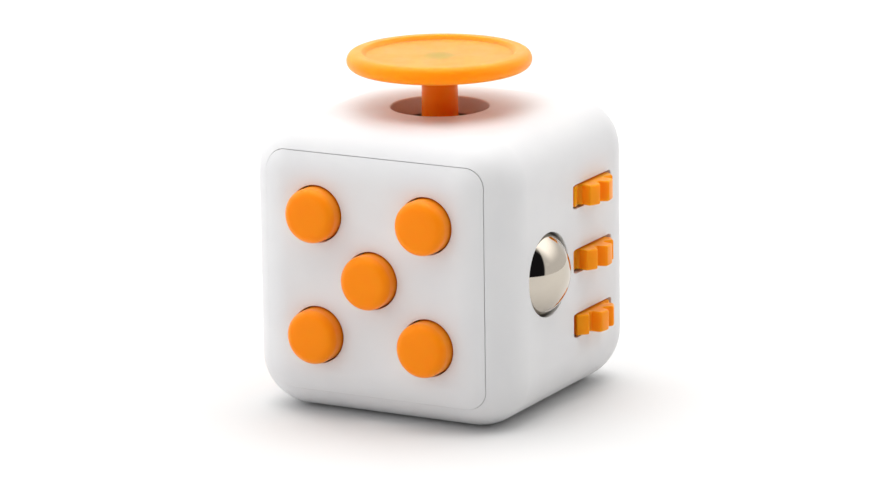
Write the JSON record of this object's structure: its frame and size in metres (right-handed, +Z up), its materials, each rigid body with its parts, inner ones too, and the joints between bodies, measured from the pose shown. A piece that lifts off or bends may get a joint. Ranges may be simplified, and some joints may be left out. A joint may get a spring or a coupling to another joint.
{
  "type": "fidget cube",
  "caption": "Rounded pocket cube with click buttons, a rolling ball and wheels, a tilting disc, a spinning dial and a flip rocker.",
  "frame": {"origin": "centre of the cube's bottom face, on the surface that it stands on", "axes": "+Z up through the tilting disc, -Y out of the front with the five buttons, +X out of the side with the ball and wheels"},
  "size_m": [0.0372, 0.0369, 0.0393],
  "materials": {
    "white_plastic": "satin moulded ABS",
    "orange_plastic": "satin moulded ABS",
    "polished_steel": "polished ball steel",
    "spring_steel": "drawn spring wire and strip",
    "screw_steel": "zinc plated",
    "grey_plastic": "plain moulded ABS",
    "silicone_rubber": "matt"
  },
  "bodies": {
    "housing": {"body_shell": "white_plastic", "front_panel": "white_plastic", "button_carrier": "grey_plastic", "carrier_screw_1": "screw_steel", "carrier_screw_2": "screw_steel", "carrier_screw_3": "screw_steel", "carrier_screw_4": "screw_steel", "click_dome_1": "spring_steel", "click_dome_2": "spring_steel", "click_dome_3": "spring_steel", "silent_pad_1": "silicone_rubber", "silent_pad_2": "silicone_rubber", "ball_spring": "spring_steel", "ball_bracket": "grey_plastic", "ball_screw_1": "screw_steel", "ball_screw_2": "screw_steel", "wheel_axle": "polished_steel", "wheel_cage": "grey_plastic", "cage_screw_1": "screw_steel", "cage_screw_2": "screw_steel", "stick_frame": "grey_plastic", "stick_spring": "spring_steel", "stick_screw_1": "screw_steel", "stick_screw_2": "screw_steel", "rocker_pin": "polished_steel", "rocker_frame": "grey_plastic", "rocker_leaf": "spring_steel", "rocker_screw_1": "screw_steel", "rocker_screw_2": "screw_steel"},
    "button_1": {"button_1": "orange_plastic"},
    "button_2": {"button_2": "orange_plastic"},
    "button_3": {"button_3": "orange_plastic"},
    "button_4": {"button_4": "orange_plastic"},
    "button_5": {"button_5": "orange_plastic"},
    "ball_cup": {"ball_cup": "grey_plastic"},
    "ball": {"steel_ball": "polished_steel"},
    "wheel_1": {"roll_wheel_1": "orange_plastic"},
    "wheel_2": {"roll_wheel_2": "orange_plastic"},
    "wheel_3": {"roll_wheel_3": "orange_plastic"},
    "gimbal_ring": {"gimbal_ring": "grey_plastic"},
    "stick": {"glide_post": "orange_plastic", "glide_cap": "orange_plastic"},
    "dial": {"spin_dial": "orange_plastic", "dial_washer": "screw_steel", "dial_screw": "screw_steel"},
    "rocker": {"flip_rocker": "orange_plastic"}
  },
  "joints": [
    {"name": "button_1_press", "type": "slide", "parent": "housing", "child": "button_1", "axis": [0, 1, 0], "range_m": [0, 0.0009], "stiffness_N_per_m": 1400, "deforming": ["click_dome_1"]},
    {"name": "button_2_press", "type": "slide", "parent": "housing", "child": "button_2", "axis": [0, 1, 0], "range_m": [0, 0.0009], "stiffness_N_per_m": 900, "deforming": ["silent_pad_1"]},
    {"name": "button_3_press", "type": "slide", "parent": "housing", "child": "button_3", "axis": [0, 1, 0], "range_m": [0, 0.0009], "stiffness_N_per_m": 1400, "deforming": ["click_dome_2"]},
    {"name": "button_4_press", "type": "slide", "parent": "housing", "child": "button_4", "axis": [0, 1, 0], "range_m": [0, 0.0009], "stiffness_N_per_m": 900, "deforming": ["silent_pad_2"]},
    {"name": "button_5_press", "type": "slide", "parent": "housing", "child": "button_5", "axis": [0, 1, 0], "range_m": [0, 0.0009], "stiffness_N_per_m": 1400, "deforming": ["click_dome_3"]},
    {"name": "ball_press", "type": "slide", "parent": "housing", "child": "ball_cup", "axis": [-1, 0, 0], "range_m": [0, 0.0008], "stiffness_N_per_m": 1500, "deforming": ["ball_spring"]},
    {"name": "ball_roll", "type": "hinge", "parent": "ball_cup", "child": "ball", "pos_m": [0.0133, -0.00565, 0.0165], "axis": [0, 1, 0], "continuous": true},
    {"name": "wheel_1_spin", "type": "hinge", "parent": "housing", "child": "wheel_1", "pos_m": [0.01365, 0.00505, 0.0091], "axis": [0, 0, 1], "continuous": true},
    {"name": "wheel_2_spin", "type": "hinge", "parent": "housing", "child": "wheel_2", "pos_m": [0.01365, 0.00505, 0.0165], "axis": [0, 0, 1], "continuous": true},
    {"name": "wheel_3_spin", "type": "hinge", "parent": "housing", "child": "wheel_3", "pos_m": [0.01365, 0.00505, 0.0239], "axis": [0, 0, 1], "continuous": true},
    {"name": "stick_tilt_x", "type": "hinge", "parent": "housing", "child": "gimbal_ring", "pos_m": [0, 0, 0.024], "axis": [0, 1, 0], "range_deg": [-13, 13], "stiffness_Nm_per_rad": 0.02, "deforming": ["stick_spring"]},
    {"name": "stick_tilt_y", "type": "hinge", "parent": "gimbal_ring", "child": "stick", "pos_m": [0, 0, 0.024], "axis": [1, 0, 0], "range_deg": [-13, 13], "stiffness_Nm_per_rad": 0.02, "deforming": ["stick_spring"]},
    {"name": "dial_spin", "type": "hinge", "parent": "housing", "child": "dial", "pos_m": [-0.0165, 0, 0.0165], "axis": [-1, 0, 0], "continuous": true},
    {"name": "rocker_flip", "type": "hinge", "parent": "housing", "child": "rocker", "pos_m": [0, 0.0134, 0.0165], "axis": [1, 0, 0], "range_deg": [0, 20], "deforming": ["rocker_leaf"]}
  ]
}
